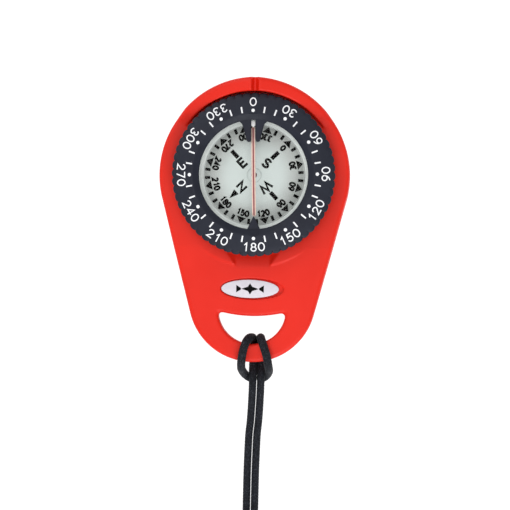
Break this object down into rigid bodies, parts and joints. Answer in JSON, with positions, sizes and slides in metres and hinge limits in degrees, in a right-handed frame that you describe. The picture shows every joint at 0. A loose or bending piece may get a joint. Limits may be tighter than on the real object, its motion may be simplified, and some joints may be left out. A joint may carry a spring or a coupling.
{
  "type": "handheld bearing compass",
  "caption": "Handheld bearing compass with a hooded red case, rotating degree bezel, liquid-type capsule with pivoted card, and a hitched cord lanyard.",
  "frame": {"origin": "on the dial's axis at the flat back of the rear cover", "axes": "+Z out of the dial, +Y from the dial's centre towards the hood and the bezel's 0, -Y towards the lanyard, +X to the right when reading the dial"},
  "size_m": [0.0772, 0.2171, 0.0272],
  "materials": {
    "case_red": "satin moulded",
    "bezel_black": "satin",
    "badge_pearl": "satin",
    "capsule_white": "satin",
    "card_grey": "printed",
    "dome_clear": "clear polished",
    "strip_clear": "clear",
    "line_red": "printed",
    "seal_rubber": "matte",
    "cushion_foam": "matte",
    "steel": "satin",
    "brass": "satin",
    "jewel": "polished",
    "cord_braid": "braided",
    "strap_black": "woven"
  },
  "bodies": {
    "case": {"front_case": "case_red", "rear_cover": "case_red", "case_screw_1": "steel", "case_screw_2": "steel", "case_screw_3": "steel", "case_screw_4": "steel", "case_screw_5": "steel", "badge": "badge_pearl", "retaining_ring": "bezel_black", "bezel_friction_ring": "seal_rubber", "dome": "dome_clear", "dome_seal": "seal_rubber", "capsule_bowl": "capsule_white", "capsule_liner": "capsule_white", "pivot_post": "bezel_black", "pivot_pin": "steel", "diaphragm": "seal_rubber", "diaphragm_ring": "bezel_black", "cushion_ring": "cushion_foam", "filler_plug": "brass", "plug_seal": "seal_rubber", "lubber_strip": "strip_clear", "lubber_line": "line_red", "lubber_tip": "capsule_white", "lanyard_left": "cord_braid", "lanyard_right": "cord_braid", "lanyard_coil": "cord_braid", "coil_strap": "strap_black", "lanyard_knot": "cord_braid"},
    "bezel": {"bezel": "bezel_black"},
    "heel_link": {"jewel_cup": "jewel"},
    "pitch_link": {"jewel_sleeve": "capsule_white"},
    "card": {"compass_card": "card_grey", "card_float": "capsule_white", "magnet_a": "steel", "magnet_b": "steel"}
  },
  "joints": [
    {"name": "bezel_spin", "type": "hinge", "parent": "case", "child": "bezel", "pos_m": [0, 0, 0.0205], "axis": [0, 0, 1], "continuous": true},
    {"name": "card_heel", "type": "hinge", "parent": "case", "child": "heel_link", "pos_m": [0, 0, 0.0173], "axis": [0, 1, 0], "range_deg": [-5, 5]},
    {"name": "card_pitch", "type": "hinge", "parent": "heel_link", "child": "pitch_link", "pos_m": [0, 0, 0.0173], "axis": [1, 0, 0], "range_deg": [-5, 5]},
    {"name": "card_spin", "type": "hinge", "parent": "pitch_link", "child": "card", "pos_m": [0, 0, 0.0173], "axis": [0, 0, 1], "continuous": true}
  ]
}
